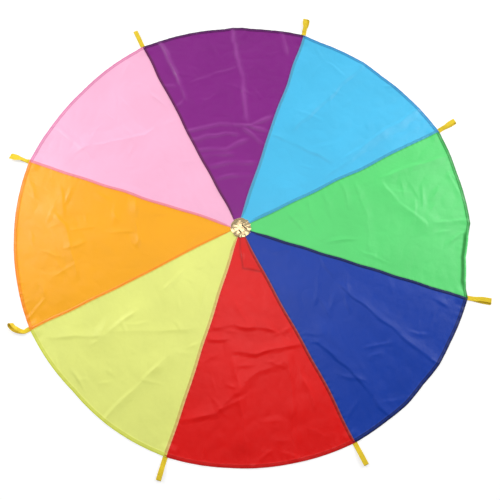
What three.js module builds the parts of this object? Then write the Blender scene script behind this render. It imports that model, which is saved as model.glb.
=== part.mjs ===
// Play parachute laid out flat on the ground: eight wedge-shaped gores of thin cloth with a turned hem,
// felled seams between them, a gathered gold cap over the crown, and a loop of webbing to hold at each seam.
// Millimetres, +Z up. The origin is on the ground under the crown, and +X runs along the seam between the
// green and the sky gore. That seam and the one opposite it are the line that the canopy folds in half along.

import * as THREE from "three";

// Canopy
const CANOPY_RADIUS = 1000; // crown to the outside of the hem
const CLOTH = 0.4; // one ply, drawn thicker than the real taffeta
const HEM_WIDTH = 14;
const HEM_SAG = 12; // how far the middle of a gore's hem lies inside the round
const HEM_THICKNESS = 1.2; // three plies of cloth, turned over
const LAP_WIDTH = 11; // the felled seam allowance, which lies on one of the two gores
const LAP_THICKNESS = 1.2;
const STEP_RUN = 0.5; // the slope at the edge of a hem or a lap
const SEAM_GAP = 0.3; // between the edges of neighbouring gores
const SEAT_GAP = 0.3; // between a piece and what it lies on
const LIFT_RUN = 32; // over which the cloth comes down again beside what lifts it
const TIP_RADIUS = 14; // where the gores' points are trimmed off under the crown cap
const FOLD_HEIGHT = 2.5; // of the low folds that the cloth lies in
const FOLD_HALF_WIDTH = 75;
const FOLD_FADE = 80; // beside a seam, where the folds run out

// Handles
const WEBBING_WIDTH = 20;
const WEBBING_THICKNESS = 1.2;
const PLY_GAP = 0.4; // between the two plies of webbing where they leave the hem
const SEWN_LENGTH = 26; // of the webbing's ends under the hem
const LOOP_REACH = 90; // from the hem to the end of a loop
const LOOP_EYE = 6.4; // clear height inside a loop
const LOOP_OPENING = 0.5; // share of a loop's length over which its plies come apart
const EDGE_LOOP_REACH = 76; // the same two of the one loop that lies on its edge
const EDGE_LOOP_EYE = 11;
const EDGE_LOOP_TURN = 34; // the length over which that loop turns on to its edge
const EDGE_LOOP_BOW = 40; // how far its end has swung to one side
const TACK_LENGTH = 18;
const TACK_WIDTH = 3;
const TACK_INSET = 6; // of the tack's middle from the outside of the hem

// Crown
const CROWN_RADIUS = 45;
const CROWN_GATHERS = 11;
const CROWN_SCALLOP = 2.2; // how far the gathered edge of the cap goes in and out
const CROWN_PLEAT = 1; // height of the gathers at the edge
const CROWN_DOME = 3.4; // rise of the cap from its edge to its middle
const CROWN_EDGE = 1.4; // thickness of the cap at its edge
const BACKING_RADIUS = 43;
const BACKING_THICKNESS = 0.4;

// Thread
const THREAD_WIDTH = 0.8;
const THREAD_HEIGHT = 0.5;
const SEAM_ROW_INSET = 1.5; // of a row of stitches from either edge of the lap
const SEAM_ROW_START = 18; // from the crown cap to the first stitch of a seam
const HEM_ROW_INSET = 2; // of the row of stitches from the inside edge of the hem
const ROW_END = 2; // a row of stitches stops this far from the next piece

// Fineness of the curved surfaces
const FIELD_ROWS = 8;
const FIELD_COLUMNS = 9;
const LOOP_STEPS = 9;
const GATHER_STEPS = 4;

// The gores in order round the crown from +X, each with the seam that it starts from. lap says which gore
// that seam's allowance lies on: 1 for this one, -1 for the one before. yaw is how many degrees the seam's
// loop lies turned from the straight line out. A fold is the crest of a low ridge from end to end: [distance
// from the crown, degrees from the gore's first seam] twice.
const CANOPY = [
  { name: "sky", colour: 0x58c8f8, lap: 1, yaw: 5, folds: [[950, 27, 580, 34], [960, 9, 560, 11]] },
  { name: "purple", colour: 0x87308a, lap: -1, yaw: 9, folds: [[970, 21, 500, 13], [960, 36, 640, 37]] },
  { name: "pink", colour: 0xffc0de, lap: -1, yaw: -2, folds: [[790, 33, 650, 21], [930, 8, 680, 10]] },
  { name: "orange", colour: 0xffb436, lap: -1, yaw: 3, folds: [[830, 12, 740, 24]] },
  { name: "lime", colour: 0xe6f07f, lap: -1, yaw: 0, folds: [[620, 33, 930, 28], [560, 14, 790, 12]] },
  { name: "red", colour: 0xe02c28, lap: -1, yaw: 2.5, folds: [[530, 15, 890, 18], [580, 36, 800, 34]] },
  { name: "blue", colour: 0x3550b0, lap: -1, yaw: 0, folds: [[530, 31, 970, 26], [580, 9, 960, 10]] },
  { name: "green", colour: 0x6ce484, lap: -1, yaw: 10, folds: [[960, 38, 660, 38], [650, 35, 810, 20]] },
];
const EDGE_LOOP_SEAM = 4; // the seam whose loop lies on its edge, with its eye facing up
const WEBBING_COLOUR = 0xf8cc30;
const GOLD = 0xe0c48c;
const BACKING_COLOUR = 0xf4f1ea;

// Worked out from those
const SECTOR = (2 * Math.PI) / CANOPY.length;
const TAIL_THICKNESS = 2 * WEBBING_THICKNESS + PLY_GAP;
const TAIL_LIFT = TAIL_THICKNESS + SEAT_GAP; // of the hem over the webbing sewn under it
const TAIL_START = CANOPY_RADIUS - SEWN_LENGTH;
const TAIL_HALF = Math.max(WEBBING_WIDTH / 2, LAP_WIDTH + STEP_RUN) + STEP_RUN; // of the cloth it lifts flat
const BACKING_LIFT = BACKING_THICKNESS + SEAT_GAP; // of the gores' tips over the backing
const HEM_START = CANOPY_RADIUS - HEM_WIDTH;

const cloth = (color) => new THREE.MeshStandardMaterial({ color, roughness: 0.55, metalness: 0 });
const webbing = () => new THREE.MeshStandardMaterial({ color: WEBBING_COLOUR, roughness: 0.8, metalness: 0 });
const lame = () => new THREE.MeshStandardMaterial({ color: GOLD, roughness: 0.25, metalness: 0.9 });
const sewing = (color) => new THREE.MeshStandardMaterial({ color, roughness: 0.6, metalness: 0 });

const parachute = new THREE.Group();
parachute.name = "play_parachute";

function addMesh(parent, name, geometry, material) {
  geometry.computeVertexNormals();
  const mesh = new THREE.Mesh(geometry, material);
  mesh.name = name;
  parent.add(mesh);
}

// A group turned round the crown, so that its own x runs out along seam number i.
function alongSeam(i) {
  const group = new THREE.Group();
  group.rotation.z = i * SECTOR;
  parachute.add(group);
  return group;
}

// 0 up to "from", 1 from "to" on, and a straight slope in between.
function ramp(x, from, to) {
  return THREE.MathUtils.clamp((x - from) / (to - from), 0, 1);
}

// A closed solid from rings of points, each going round its run by the right-hand rule. Neighbouring rings
// are joined by quads. The quads of the second half of a ring are split along the other diagonal, so that
// the two faces of something thin and flat stay side by side where it is warped. A ring closes on itself,
// a closed run has no ends, and other runs end in the triangles that endsOf gives for a ring of that many
// points.
function loft(rings, closed, endsOf) {
  const sides = rings[0].length;
  const index = [];
  const steps = closed ? rings.length : rings.length - 1;
  for (let i = 0; i < steps; i++) {
    const here = i * sides;
    const next = ((i + 1) % rings.length) * sides;
    for (let j = 0; j < sides; j++) {
      const k = (j + 1) % sides;
      if (j < sides / 2) {
        index.push(here + j, here + k, next + k, here + j, next + k, next + j);
      } else {
        index.push(here + j, here + k, next + j, here + k, next + k, next + j);
      }
    }
  }
  const last = (rings.length - 1) * sides;
  for (const [a, b, c] of closed ? [] : endsOf(sides)) {
    index.push(a, c, b, last + a, last + b, last + c);
  }
  return new THREE.BufferGeometry().setFromPoints(rings.flat()).setIndex(index);
}

// An end that is a fan round its first point, for rounded and square sections.
function fanEnd(sides) {
  return Array.from({ length: sides - 2 }, (_, j) => [0, j + 1, j + 2]);
}

// An end that is a ladder between the two faces of a slab, which may curve along its width.
function ladderEnd(sides) {
  const rungs = Array.from({ length: sides / 2 - 1 }, (_, j) => [j, sides - 1 - j]);
  return rungs.flatMap(([low, high]) => [[low, low + 1, high - 1], [low, high - 1, high]]);
}

// A closed slab. Each row is a list of places across it, with the heights of its two faces.
function slab(rows) {
  const rings = rows.map((row) => [
    ...row.map((p) => new THREE.Vector3(p.x, p.y, p.bottom)),
    ...row.toReversed().map((p) => new THREE.Vector3(p.x, p.y, p.top)),
  ]);
  return loft(rings, false, ladderEnd);
}

// A bead of thread that lies along points on a surface.
function bead(points, closed = false) {
  const count = points.length;
  const heading = (a, b) => new THREE.Vector2(b.x - a.x, b.y - a.y).normalize();
  const rings = points.map((p, i) => {
    const before = points[(i + count - 1) % count];
    const after = points[(i + 1) % count];
    const out = i === count - 1 && !closed ? heading(before, p) : heading(p, after);
    const into = i === 0 && !closed ? out : heading(before, p);
    const along = into.add(out).normalize();
    const half = THREAD_WIDTH / 2 / along.dot(out); // wider across a corner, so that the bead keeps its width
    const left = new THREE.Vector3(-along.y * half, along.x * half, 0);
    const low = new THREE.Vector3(p.x, p.y, p.z + SEAT_GAP);
    const high = new THREE.Vector3(p.x, p.y, p.z + SEAT_GAP + THREAD_HEIGHT);
    return [low.clone().sub(left), low.clone().add(left), high.clone().add(left), high.clone().sub(left)];
  });
  return loft(rings, closed, fanEnd);
}

// Gores

function polar(r, angle) {
  return new THREE.Vector2(r * Math.cos(angle), r * Math.sin(angle));
}

// Where a place on a gore lies: towards the rim the cloth is drawn in between the seams, so that the hem
// runs flatter than the round.
function laid(r, angle) {
  const outer = ramp(r, CANOPY_RADIUS / 2, CANOPY_RADIUS) ** 2;
  return polar(r - HEM_SAG * outer * Math.sin((Math.PI * angle) / SECTOR), angle);
}

// Height of the low folds at a place on a gore, in the gore's own frame.
function foldHeight(place, folds) {
  let height = 0;
  for (const [r1, degrees1, r2, degrees2] of folds) {
    const from = polar(r1, THREE.MathUtils.degToRad(degrees1));
    const run = polar(r2, THREE.MathUtils.degToRad(degrees2)).sub(from);
    const share = THREE.MathUtils.clamp(place.clone().sub(from).dot(run) / run.lengthSq(), 0, 1);
    const away = place.distanceTo(from.addScaledVector(run, share)) / FOLD_HALF_WIDTH;
    height = Math.max(height, FOLD_HEIGHT * Math.max(0, 1 - away * away) ** 2);
  }
  return height;
}

// How high the cloth lies at a place on a gore: over the webbing sewn under the hem at each seam, over the
// backing at the crown, and on its own low folds.
function clothLift(r, angle, folds = []) {
  const fromSeam = r * Math.sin(Math.min(angle, SECTOR - angle));
  const nearTail = ramp(r, TAIL_START - LIFT_RUN, TAIL_START - STEP_RUN);
  const besideTail = 1 - ramp(fromSeam, TAIL_HALF, TAIL_HALF + LIFT_RUN);
  const overBacking = 1 - ramp(r, CROWN_RADIUS, CROWN_RADIUS + LIFT_RUN);
  const folded = foldHeight(polar(r, angle), folds) * ramp(fromSeam, TAIL_HALF, TAIL_HALF + FOLD_FADE);
  return TAIL_LIFT * nearTail * besideTail + BACKING_LIFT * overBacking + folded;
}

// Distances from the crown of the rows of points on a gore.
function goreRows() {
  const inner = CROWN_RADIUS + LIFT_RUN;
  const outer = TAIL_START - LIFT_RUN;
  const field = Array.from({ length: FIELD_ROWS + 1 }, (_, i) => inner + ((outer - inner) * i) / FIELD_ROWS);
  const rim = [TAIL_START - STEP_RUN, HEM_START - STEP_RUN, HEM_START, CANOPY_RADIUS];
  return [TIP_RADIUS, CROWN_RADIUS, ...field, ...rim];
}

// Angles from the first seam of the points across a gore: its edge, its lap, the foot of what lies under it,
// the plain cloth, and the same again to the second seam. Close to the crown all of these draw together.
function goreAngles(r) {
  const width = r * SECTOR;
  const lap = Math.min(LAP_WIDTH, width / 4);
  const step = lap + Math.min(STEP_RUN, width / 50);
  const half = Math.min(TAIL_HALF, step + width / 50);
  const foot = Math.min(TAIL_HALF + LIFT_RUN, (2 * width) / 5);
  const edge = [SEAM_GAP / 2, lap, step, half, foot].map((distance) => Math.asin(distance / r));
  const first = edge.at(-1);
  const field = Array.from({ length: FIELD_COLUMNS - 1 }, (_, i) => {
    return first + ((SECTOR - 2 * first) * (i + 1)) / FIELD_COLUMNS;
  });
  return [...edge, ...field, ...edge.toReversed().map((angle) => SECTOR - angle)];
}

function goreGeometry(i) {
  const { folds, lap } = CANOPY[i];
  const lapAtStart = lap === 1;
  const lapAtEnd = CANOPY[(i + 1) % CANOPY.length].lap === -1;
  const rows = goreRows().map((r) =>
    goreAngles(r).map((angle, column, all) => {
      const lapped = (lapAtStart && column < 2) || (lapAtEnd && column > all.length - 3);
      const bottom = clothLift(r, angle, folds);
      const plies = r >= HEM_START ? HEM_THICKNESS : lapped ? LAP_THICKNESS : CLOTH;
      const { x, y } = laid(r, angle);
      return { x, y, bottom, top: bottom + plies };
    }),
  );
  return slab(rows);
}

// The row of stitches that holds a gore's hem down.
function hemThreadGeometry(i) {
  const r = HEM_START + HEM_ROW_INSET;
  const [, ...angles] = goreAngles(r).slice(0, -1);
  const end = Math.asin(ROW_END / r);
  const points = [end, ...angles, SECTOR - end].map((angle) => {
    const { x, y } = laid(r, angle);
    return new THREE.Vector3(x, y, HEM_THICKNESS + clothLift(r, angle, CANOPY[i].folds));
  });
  return bead(points);
}

// The two rows of stitches along a felled seam, sewn as one thread that turns back at the hem.
function seamThreadGeometry(side) {
  const rows = [
    CROWN_RADIUS + SEAM_ROW_START,
    CROWN_RADIUS + LIFT_RUN,
    TAIL_START - LIFT_RUN,
    TAIL_START - STEP_RUN,
    HEM_START - STEP_RUN - ROW_END,
  ];
  const place = (r, inset) => new THREE.Vector3(r, side * inset, LAP_THICKNESS + clothLift(r, 0));
  const out = rows.map((r) => place(r, SEAM_ROW_INSET));
  const back = rows.toReversed().map((r) => place(r, LAP_WIDTH - SEAM_ROW_INSET));
  return bead([...out, ...back]);
}

// Handles

// The middle line of a webbing loop, seen from the side: x is the distance out from the hem and y the height
// over the middle of the lower ply. The upper ply goes out, and the lower one comes back.
function loopLine(reach, eye) {
  const spread = eye + WEBBING_THICKNESS;
  const bend = reach - (spread + WEBBING_THICKNESS) / 2;
  const ply = WEBBING_THICKNESS + PLY_GAP;
  const open = bend * LOOP_OPENING;
  const opening = new THREE.CubicBezierCurve(
    new THREE.Vector2(0, ply),
    new THREE.Vector2(open / 3, ply),
    new THREE.Vector2((2 * open) / 3, spread),
    new THREE.Vector2(open, spread),
  );
  const upper = new THREE.LineCurve(new THREE.Vector2(open, spread), new THREE.Vector2(bend, spread));
  const half = spread / 2;
  const end = new THREE.EllipseCurve(bend, half, half, half, Math.PI / 2, -Math.PI / 2, true);
  const lower = new THREE.LineCurve(new THREE.Vector2(bend, 0), new THREE.Vector2(0, 0));
  const tailOf = (curve) => curve.getPoints(LOOP_STEPS).slice(1);
  return [...opening.getPoints(LOOP_STEPS), ...tailOf(upper), ...tailOf(end), ...tailOf(lower)];
}

// Webbing along a middle line. place(out, across, up) says where a point of the flat loop goes.
function strapGeometry(line, place) {
  const halfWidth = WEBBING_WIDTH / 2;
  const halfPly = WEBBING_THICKNESS / 2;
  const rings = line.map((p, i) => {
    const before = line[Math.max(i - 1, 0)];
    const after = line[Math.min(i + 1, line.length - 1)];
    const along = after.clone().sub(before).normalize();
    const corner = (across, out) => place(p.x - along.y * out, across, p.y + along.x * out + halfPly);
    return [
      corner(-halfWidth, -halfPly),
      corner(halfWidth, -halfPly),
      corner(halfWidth, halfPly),
      corner(-halfWidth, halfPly),
    ];
  });
  return loft(rings, false, fanEnd);
}

// A loop that lies flat on the ground, with its eye facing sideways.
function flatLoopGeometry() {
  const line = loopLine(LOOP_REACH, LOOP_EYE);
  return strapGeometry(line, (out, across, up) => new THREE.Vector3(out, across, up));
}

// A loop that leaves the hem flat, turns on to its edge and swings to one side.
function edgeLoopGeometry() {
  const middle = EDGE_LOOP_EYE / 2 + WEBBING_THICKNESS;
  return strapGeometry(loopLine(EDGE_LOOP_REACH, EDGE_LOOP_EYE), (out, across, up) => {
    const turn = (THREE.MathUtils.smoothstep(out, 0, EDGE_LOOP_TURN) * Math.PI) / 2;
    const bow = EDGE_LOOP_BOW * (out / EDGE_LOOP_REACH) ** 2;
    const rise = (WEBBING_WIDTH / 2) * Math.sin(turn) + middle * Math.cos(turn);
    const y = across * Math.cos(turn) - (up - middle) * Math.sin(turn) - bow;
    const z = rise + across * Math.sin(turn) + (up - middle) * Math.cos(turn);
    return new THREE.Vector3(out, y, z);
  });
}

// The bar tack that holds the webbing under the hem: a slim bar with round ends.
function tackGeometry() {
  const straight = (TACK_LENGTH - TACK_WIDTH) / 2;
  const bar = new THREE.Shape();
  bar.absarc(0, straight, TACK_WIDTH / 2, 0, Math.PI, false);
  bar.absarc(0, -straight, TACK_WIDTH / 2, Math.PI, 2 * Math.PI, false);
  return new THREE.ExtrudeGeometry(bar, { depth: THREAD_HEIGHT, bevelEnabled: false, curveSegments: 4 });
}

function addHandle(i) {
  const seam = alongSeam(i);
  const number = i + 1;
  const yaw = THREE.MathUtils.degToRad(CANOPY[i].yaw);
  const root = new THREE.Group();
  root.position.x = CANOPY_RADIUS + SEAT_GAP + (WEBBING_WIDTH / 2) * Math.abs(Math.sin(yaw));
  root.rotation.z = yaw;
  seam.add(root);
  const loop = i === EDGE_LOOP_SEAM ? edgeLoopGeometry() : flatLoopGeometry();
  addMesh(root, `handle_loop_${number}`, loop, webbing());

  const tail = new THREE.BoxGeometry(SEWN_LENGTH, WEBBING_WIDTH, TAIL_THICKNESS);
  tail.translate(CANOPY_RADIUS - SEWN_LENGTH / 2, 0, TAIL_THICKNESS / 2);
  addMesh(seam, `handle_tail_${number}`, tail, webbing());

  const tack = tackGeometry();
  tack.translate(CANOPY_RADIUS - TACK_INSET, 0, TAIL_LIFT + HEM_THICKNESS + SEAT_GAP);
  addMesh(seam, `handle_tack_${number}`, tack, sewing(WEBBING_COLOUR));
}

// Crown

function capEdge(angle) {
  return CROWN_RADIUS - CROWN_SCALLOP * (0.5 - 0.5 * Math.cos(CROWN_GATHERS * angle));
}

const CAP_BOTTOM = BACKING_LIFT + LAP_THICKNESS + SEAT_GAP;

// Height of the cap's upper face at a share of the way from its middle to its edge.
function capTop(share, angle) {
  const gather = CROWN_PLEAT * share ** 2 * (0.5 + 0.5 * Math.cos(CROWN_GATHERS * angle));
  return CAP_BOTTOM + CROWN_EDGE + CROWN_DOME * (1 - share ** 2) + gather;
}

const CAP_ANGLES = Array.from({ length: CROWN_GATHERS * GATHER_STEPS }, (_, i) => {
  return (2 * Math.PI * i) / (CROWN_GATHERS * GATHER_STEPS);
});
const CAP_MIDDLE = 0.06; // share of the radius where the cap's faces close
const CAP_SHARES = [1, 0.93, 0.87, 0.7, 0.45, CAP_MIDDLE];
const CAP_STITCH_SHARE = 0.9;

function capRing(share, heightAt) {
  return CAP_ANGLES.map((angle) => {
    const { x, y } = polar(share * capEdge(angle), angle);
    return new THREE.Vector3(x, y, heightAt(share, angle));
  });
}

function capGeometry() {
  const under = [CAP_MIDDLE, 1].map((share) => capRing(share, () => CAP_BOTTOM));
  const over = CAP_SHARES.map((share) => capRing(share, capTop));
  return loft([...under, ...over], false, fanEnd);
}

function addCrown() {
  addMesh(parachute, "crown_cap", capGeometry(), lame());
  addMesh(parachute, "crown_thread", bead(capRing(CAP_STITCH_SHARE, capTop), true), sewing(GOLD));
  const sides = CAP_ANGLES.length;
  const backing = new THREE.CylinderGeometry(BACKING_RADIUS, BACKING_RADIUS, BACKING_THICKNESS, sides);
  backing.rotateX(Math.PI / 2);
  backing.translate(0, 0, BACKING_THICKNESS / 2);
  addMesh(parachute, "crown_backing", backing, cloth(BACKING_COLOUR));
}

CANOPY.forEach(({ name, colour, lap }, i) => {
  const seam = alongSeam(i);
  addMesh(seam, `gore_${name}`, goreGeometry(i), cloth(colour));
  addMesh(seam, `hem_thread_${name}`, hemThreadGeometry(i), sewing(colour));
  addMesh(seam, `seam_thread_${i + 1}`, seamThreadGeometry(lap), sewing(colour));
  addHandle(i);
});
addCrown();

export default parachute;
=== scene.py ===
"""A play parachute laid out flat on a pale floor: eight gores of taffeta with turned hems and felled seams, a
loop of webbing at each seam, and a gathered cap of gold cloth over the crown. Metres, +Z up, crown over the
origin."""

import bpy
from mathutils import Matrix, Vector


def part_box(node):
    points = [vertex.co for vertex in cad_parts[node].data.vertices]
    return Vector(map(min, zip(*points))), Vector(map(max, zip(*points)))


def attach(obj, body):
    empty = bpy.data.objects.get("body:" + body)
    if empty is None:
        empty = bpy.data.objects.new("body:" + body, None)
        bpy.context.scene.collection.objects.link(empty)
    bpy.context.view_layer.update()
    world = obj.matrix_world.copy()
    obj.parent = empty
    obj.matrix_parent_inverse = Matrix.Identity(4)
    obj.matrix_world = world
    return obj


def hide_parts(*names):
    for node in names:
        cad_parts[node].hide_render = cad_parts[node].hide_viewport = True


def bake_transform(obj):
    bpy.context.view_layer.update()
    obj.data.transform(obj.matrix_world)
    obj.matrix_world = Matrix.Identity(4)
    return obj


bl_info = {
    "name": "Play parachute",
    "version": (1, 0, 0),
    "blender": (4, 5, 0),
    "location": "View3D > Sidebar > Parachute",
    "description": "Builds a play parachute of coloured gores with webbing loops, laid out on the floor",
    "category": "Mesh",
}

import math
from collections import namedtuple

import bpy
import numpy as np
from bpy.props import FloatProperty, FloatVectorProperty, IntProperty, PointerProperty
from mathutils import Vector

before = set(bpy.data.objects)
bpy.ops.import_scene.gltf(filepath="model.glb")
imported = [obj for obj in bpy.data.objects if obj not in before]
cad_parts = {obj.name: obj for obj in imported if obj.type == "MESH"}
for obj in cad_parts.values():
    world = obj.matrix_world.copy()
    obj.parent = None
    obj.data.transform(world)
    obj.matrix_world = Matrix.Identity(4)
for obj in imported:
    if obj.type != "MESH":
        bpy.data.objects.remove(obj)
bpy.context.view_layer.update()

MM = 0.001
SECTOR = math.pi / 4
FAR, NEAR = "far_half", "near_half"
FOLD_SEAM = 4  # the seam opposite +X: the canopy folds along it and along seam 0


def linear(hex_code):
    """An sRGB hex value as linear red, green, blue and alpha."""
    channels = [int(hex_code[i : i + 2], 16) / 255 for i in (0, 2, 4)]
    return (*[c / 12.92 if c <= 0.04045 else ((c + 0.055) / 1.055) ** 2.4 for c in channels], 1.0)


# The gores in order round the crown from +X. Hem and lap are the cloth's colours where it lies doubled: on
# its hem and on the lap over its neighbour. The hem's colour is painted shade as well: beside a neighbour's
# lap, at a tuck's folded edge, where the hem stands on end, and in lines along the hem's two edges. Edge is
# the colour along that lap's folded edge, where it lies doubled, with painted light and shade in it: a
# painted highlight where it is paler than the lap and painted shade where it is darker. Pale is how much its
# crests are painted paler, a painted highlight. The rest belongs to the seam that the gore starts from: side
# is 1 where the seam's lap lies on this gore and -1 where it lies on the one before, thread is its colour,
# and lie is how far round it has been pulled at each of LIE_AT, in millimetres.
Gore = namedtuple("Gore", "name cloth hem lap edge pale side thread lie")
LIE_AT = (100, 400, 700, 1000)
GORES = [
    Gore("sky", "4CC2F0", "3080BC", "44A8CE", "7E94C4", 0.02, 1, "2A6EA4", (0, -2, -4, -3)),
    Gore("purple", "861E86", "3A0E42", "701A62", "581038", 0.2, -1, "3E86B8", (18, 22, 18, 12)),
    Gore("pink", "FFBADA", "E07CAC", "F292A2", "FA9084", 0, -1, "4C1652", (14, 17, 15, 11)),
    Gore("orange", "FFAE10", "FF8A14", "FA9006", "FFC448", 0, -1, "D8648C", (11, 8, 4, 0)),
    Gore("lime", "ECF282", "D8DE4E", "DCC264", "FFCA92", 0, -1, "F2A636", (-8, -2, 0, -4)),
    Gore("red", "E60A06", "C60C08", "AE100C", "A85852", 0, -1, "9A8A30", (1, 5, 11, 10)),
    Gore("blue", "0C3CA6", "0E1648", "14225E", "121A50", 0, -1, "A43A30", (-5, 1, 6, 0)),
    Gore("green", "5EDC78", "0E8028", "2EA84A", "2EA84A", 0, -1, "141C58", (0, 0, 1, 0)),
]

# How the loop at each of those seams lies, in millimetres and degrees: moved along the hem, turned from
# straight out, its length and the gap in it, turned on to its edge near the hem and at its end, its upper ply
# slid off the lower one, and bent to one side.
Loop = namedtuple("Loop", "at yaw reach eye root tip slide bend", defaults=(0, 0, 0, 0))
LOOPS = [
    Loop(at=-2, yaw=5, reach=93, eye=8, root=20, tip=6, slide=7),
    Loop(at=14, yaw=8, reach=76, eye=10, root=16, tip=4, slide=12),
    Loop(at=10, yaw=-2, reach=92, eye=6, root=8),
    Loop(at=-3, yaw=1, reach=88, eye=8, root=34, tip=12, slide=13),
    Loop(at=-11, yaw=-28, reach=82, eye=15, root=30, tip=60, bend=74),
    Loop(at=6, yaw=2.5, reach=88, eye=6, tip=4, slide=3),
    Loop(at=-4, yaw=0, reach=100, eye=6, tip=-6, slide=-3),
    Loop(at=-2, yaw=8, reach=106, eye=6, tip=4, slide=9),
]

# Crests of the broad low folds of each gore: millimetres from the crown and degrees from +X, end to end.
FOLDS = {
    "sky": [(950, 27, 580, 34), (960, 9, 560, 11)],
    "purple": [(970, 66, 500, 58), (960, 81, 640, 82)],
    "pink": [(790, 123, 650, 111), (930, 98, 680, 100)],
    "orange": [(830, 147, 740, 159)],
    "lime": [(620, 213, 930, 208), (560, 194, 790, 192)],
    "red": [(530, 240, 890, 243), (580, 261, 800, 259)],
    "blue": [(530, 301, 970, 296), (580, 279, 960, 280)],
    "green": [(960, 353, 660, 353), (650, 350, 810, 335)],
}

# Sharper creases from packing: height and the half-widths to the left and to the right of the line, in
# millimetres, then the places that the line runs through: millimetres from the crown and degrees from +X.
CREASES = {
    "sky": [
        (2.8, 14, 39, [(985, 27), (495, 35)]),
        (2.8, 39, 13, [(985, 8), (530, 8)]),
        (2.8, 34, 13, [(465, 45), (460, 34), (515, 8)]),
        (2.0, 14, 34, [(680, 7), (400, 4)]),
    ],
    "purple": [
        (3.9, 22, 18, [(988, 65), (765, 62), (480, 57)]),
        (3.6, 18, 17, [(988, 85), (825, 84), (640, 84)]),
        (3.1, 14, 17, [(985, 51), (850, 47)]),
        (3.1, 13, 13, [(800, 92), (730, 84)]),
        (2.6, 13, 13, [(670, 84), (640, 91)]),
        (2.0, 13, 15, [(740, 83), (790, 62)]),
        (3.4, 13, 13, [(470, 60), (560, 44)]),
        (3.2, 14, 14, [(530, 93), (500, 72), (480, 57), (470, 44)]),
        (2.9, 13, 17, [(488, 93), (450, 70), (440, 60)]),
        (3.2, 13, 14, [(485, 62), (400, 44)]),
        (3.0, 14, 20, [(430, 93), (378, 71), (425, 54)]),
        (2.2, 13, 17, [(395, 93), (350, 62)]),
        (2.4, 13, 17, [(335, 93), (310, 70), (318, 44)]),
        (2.4, 13, 14, [(262, 93), (245, 70), (250, 44)]),
    ],
    "pink": [
        (2.1, 13, 34, [(785, 123), (620, 107), (620, 96)]),
        (1.8, 13, 30, [(890, 104), (765, 104)]),
        (1.8, 30, 13, [(985, 123), (730, 126)]),
        (2.6, 17, 14, [(790, 95), (640, 92)]),
        (2.0, 13, 32, [(610, 132), (455, 132)]),
    ],
    "orange": [
        (2.4, 13, 36, [(835, 147), (770, 152), (735, 172)]),
        (1.8, 13, 30, [(840, 138), (770, 150)]),
        (3.0, 11, 40, [(495, 134), (455, 166)]),
        (1.6, 13, 28, [(455, 166), (400, 171)]),
        (1.2, 14, 30, [(875, 168), (690, 165)]),
        (1.6, 13, 28, [(585, 143), (515, 152)]),
    ],
    "lime": [
        (2.2, 46, 16, [(965, 183), (845, 187), (730, 193)]),
        (1.4, 41, 20, [(720, 191), (560, 206), (458, 223)]),
        (2.4, 18, 15, [(745, 192), (550, 192)]),
        (2.5, 14, 32, [(985, 208), (605, 214)]),
        (2.0, 14, 20, [(450, 193), (300, 190)]),
        (1.8, 20, 13, [(940, 193), (962, 201)]),
        (1.7, 14, 18, [(265, 207), (400, 216)]),
    ],
    "red": [
        (2.6, 11, 10, [(80, 243), (170, 247)]),
        (3.2, 24, 11, [(165, 244), (212, 268)]),
        (3.0, 50, 18, [(462, 222), (432, 242), (440, 252), (480, 262)]),
        (2.6, 34, 15, [(520, 222), (482, 239)]),
        (3.0, 48, 17, [(530, 237), (548, 249), (545, 262), (592, 275)]),
        (3.2, 40, 22, [(858, 224), (790, 235), (705, 240)]),
        (2.4, 40, 26, [(730, 238), (618, 249), (605, 262)]),
        (2.1, 26, 24, [(545, 239), (985, 244)]),
        (2.3, 22, 30, [(560, 263), (985, 255)]),
        (2.0, 24, 18, [(610, 264), (855, 264)]),
        (2.0, 28, 14, [(602, 239), (590, 249)]),
        (1.7, 16, 16, [(760, 260), (835, 256)]),
        (1.6, 20, 17, [(260, 242), (330, 255)]),
    ],
    "blue": [
        (3.2, 40, 11, [(350, 313), (460, 303)]),
        (2.4, 30, 11, [(470, 302), (725, 298), (990, 297)]),
        (2.4, 30, 11, [(555, 274), (755, 279), (985, 280)]),
        (1.6, 20, 20, [(385, 306), (470, 283)]),
        (1.6, 22, 20, [(490, 299), (535, 286)]),
        (2.1, 34, 11, [(860, 312), (955, 311)]),
    ],
    "green": [
        (2.4, 14, 30, [(645, 354), (985, 353)]),
        (2.4, 14, 34, [(650, 353), (705, 342), (820, 333)]),
        (1.8, 24, 14, [(745, 351), (735, 344)]),
        (2.0, 15, 24, [(825, 334), (985, 335)]),
        (2.6, 34, 14, [(550, 358), (550, 338), (570, 320)]),
        (2.4, 32, 14, [(498, 361), (480, 341)]),
        (2.0, 28, 14, [(325, 361), (325, 331)]),
        (1.8, 17, 14, [(350, 322), (530, 328)]),
        (1.8, 14, 24, [(960, 350), (982, 341)]),
        (2.0, 28, 14, [(405, 361), (398, 338)]),
    ],
}

# A tuck at a gore's tip: its cloth lies doubled to the left of the line through these places.
TUCKS = {"red": [(40, 237), (110, 242), (181, 245), (222, 270)]}

# How far the hem lies outside or inside the round, in millimetres, at degrees from +X. Between them it runs
# straight.
RIM = [
    (0, 2), (10, -11), (21, -20), (27, -16), (40, -18), (45, -9), (49, -10), (54, -15), (60, -15), (62, -10),
    (65, -11), (67, -16), (84, -5), (90, 1), (111, -13), (123, -11), (135, -1), (155, -12), (168, -15),
    (180, -13), (198, -24), (210, -13), (225, -4), (240, -7), (255, -3), (270, 6), (279, 4), (285, 8),
    (291, 2), (297, 7), (303, 3), (315, 7), (317, -8), (319, -16), (325, -27), (331, -15), (334, -2),
    (348, -8), (360, 2),
]

# Where the hem has curled up on end: from and to these degrees, over the run-out at each end, and how high.
CURLED, CURL_RUN, CURL_HEIGHT = (319, 330), 3, 5 * MM


# Sizes and colours that a user would change


def length_property(name, description, default):
    return FloatProperty(name=name, description=description, default=default, unit="LENGTH")


def colour_property(name, description, hex_code):
    return FloatVectorProperty(
        name=name, description=description, default=linear(hex_code), subtype="COLOR", size=4, min=0, max=1
    )


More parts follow.
